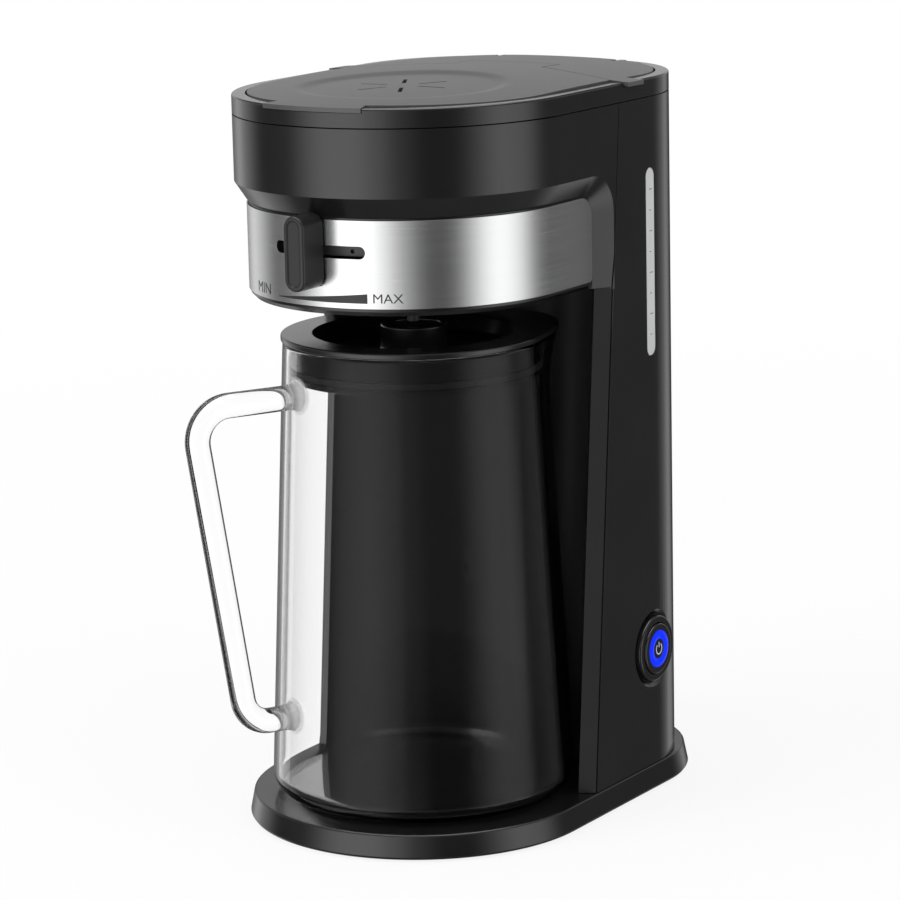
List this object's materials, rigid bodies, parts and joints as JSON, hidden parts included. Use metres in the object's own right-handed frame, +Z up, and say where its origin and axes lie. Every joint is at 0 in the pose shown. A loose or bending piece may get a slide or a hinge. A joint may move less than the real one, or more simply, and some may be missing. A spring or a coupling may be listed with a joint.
{
  "type": "cold brew coffee maker",
  "caption": "Countertop cold brew coffee maker: a brewing head and water tower over a round-nosed base, with a lidded glass jug, strength lever and side power button.",
  "frame": {"origin": "centre of the bounding box, on the surface the feet stand on", "axes": "+Z up; -Y is the front, where the jug and its handle are; +X is the machine's own right side as seen from the front, with the power button and the level window"},
  "size_m": [0.1605, 0.2498, 0.3334],
  "materials": {
    "black_gloss": "glossy black ABS",
    "black_satin": "satin black plastic",
    "dark_inner": "dark grey polypropylene",
    "brushed_steel": "brushed stainless steel",
    "clear_glass": "clear heat-proof glass",
    "frosted": "frosted translucent plastic",
    "rubber": "matt rubber",
    "blue_light": "translucent, lit blue",
    "aluminium": "cast and drawn aluminium",
    "silicone": "translucent silicone"
  },
  "bodies": {
    "machine": {"base_shell": "black_gloss", "front_housing": "black_gloss", "rear_housing": "black_gloss", "top_deck": "black_gloss", "button_bezel": "black_gloss", "base_plate": "black_satin", "brew_basket": "black_satin", "drip_outlet": "black_satin", "filter_frame": "dark_inner", "water_spout": "dark_inner", "check_valve": "dark_inner", "switch_body": "dark_inner", "steel_band": "brushed_steel", "base_screw_1": "brushed_steel", "base_screw_2": "brushed_steel", "base_screw_3": "brushed_steel", "base_screw_4": "brushed_steel", "basket_lid_pin": "brushed_steel", "tank_lid_pin": "brushed_steel", "drip_spring": "brushed_steel", "thermostat": "brushed_steel", "thermal_fuse": "brushed_steel", "filter_mesh": "brushed_steel", "water_tank": "frosted", "level_window": "frosted", "foot_front_left": "rubber", "foot_front_right": "rubber", "foot_rear_left": "rubber", "foot_rear_right": "rubber", "cord_gland": "rubber", "heater_tube": "aluminium", "heater_bracket": "aluminium", "inlet_hose": "silicone", "riser_hose": "silicone"},
    "basket_lid": {"basket_lid": "black_satin"},
    "tank_lid": {"tank_lid": "black_satin"},
    "lever": {"strength_lever": "black_satin", "strength_ring": "black_satin"},
    "button": {"power_button": "black_gloss", "light_ring": "blue_light"},
    "valve": {"drip_valve": "black_satin"},
    "jug": {"glass_jug": "clear_glass"},
    "jug_lid": {"jug_lid": "black_gloss", "jug_lid_seal": "silicone"}
  },
  "joints": [
    {"name": "basket_lid_hinge", "type": "hinge", "parent": "machine", "child": "basket_lid", "pos_m": [0, 0.06111, 0.3283], "axis": [-1, 0, 0], "range_deg": [0, 95]},
    {"name": "tank_lid_hinge", "type": "hinge", "parent": "machine", "child": "tank_lid", "pos_m": [0, 0.10451, 0.3287], "axis": [-1, 0, 0], "range_deg": [0, 95]},
    {"name": "lever_turn", "type": "hinge", "parent": "machine", "child": "lever", "pos_m": [0, -0.02249, 0.2681], "axis": [0, 0, 1], "range_deg": [-15, 15]},
    {"name": "button_press", "type": "slide", "parent": "machine", "child": "button", "axis": [-1, 0, 0], "range_m": [0, 0.002], "stiffness_N_per_m": 600, "springref_m": -0.001},
    {"name": "valve_lift", "type": "slide", "parent": "machine", "child": "valve", "axis": [0, 0, 1], "range_m": [0, 0.004], "stiffness_N_per_m": 150, "springref_m": -0.003, "deforming": ["drip_spring"]},
    {"name": "jug_slide", "type": "slide", "parent": "machine", "child": "jug", "axis": [0, -1, 0], "range_m": [0, 0.2]},
    {"name": "jug_lid_lift", "type": "slide", "parent": "jug", "child": "jug_lid", "axis": [0, 0, 1], "range_m": [0, 0.008]}
  ]
}
